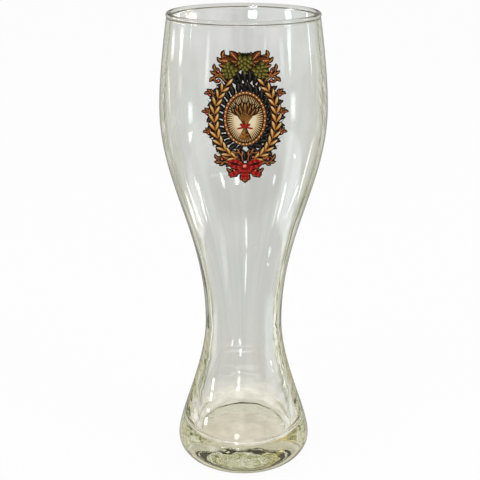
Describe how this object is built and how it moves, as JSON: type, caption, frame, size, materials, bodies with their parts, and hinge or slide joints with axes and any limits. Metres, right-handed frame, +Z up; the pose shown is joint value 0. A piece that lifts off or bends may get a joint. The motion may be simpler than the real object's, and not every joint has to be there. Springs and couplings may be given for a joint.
{
  "type": "beer glass",
  "caption": "Tall waisted drinking glass with a thick base, flared bowl, rounded lip and a small fired enamel print on the front.",
  "frame": {"origin": "centre of the standing ring under the base, on the surface that the glass stands on", "axes": "+Z up along the axis of the glass towards the lip, -Y out through the middle of the print, +X to the viewer's right"},
  "size_m": [0.084, 0.0846, 0.24],
  "materials": {
    "soda_lime_glass": "fire-polished clear glass with a faint green cast",
    "enamel_charcoal": "fired enamel print, satin gloss",
    "enamel_cream": "fired enamel print, satin gloss",
    "enamel_copper": "fired enamel print, satin gloss",
    "enamel_gold": "fired enamel print, satin gloss",
    "enamel_olive": "fired enamel print, satin gloss",
    "enamel_red": "fired enamel print, satin gloss"
  },
  "bodies": {
    "root": {"glass_vessel": "soda_lime_glass", "print_backing": "enamel_charcoal", "print_medallion_field": "enamel_cream", "print_medallion_rim": "enamel_copper", "print_sheaf": "enamel_gold", "print_sheaf_band": "enamel_red", "print_barley_right": "enamel_gold", "print_barley_left": "enamel_gold", "print_hop_left": "enamel_olive", "print_hop_middle": "enamel_olive", "print_hop_right": "enamel_olive", "print_leaf_left": "enamel_copper", "print_leaf_right": "enamel_copper", "print_bow": "enamel_red", "print_pendant": "enamel_gold"}
  },
  "joints": []
}
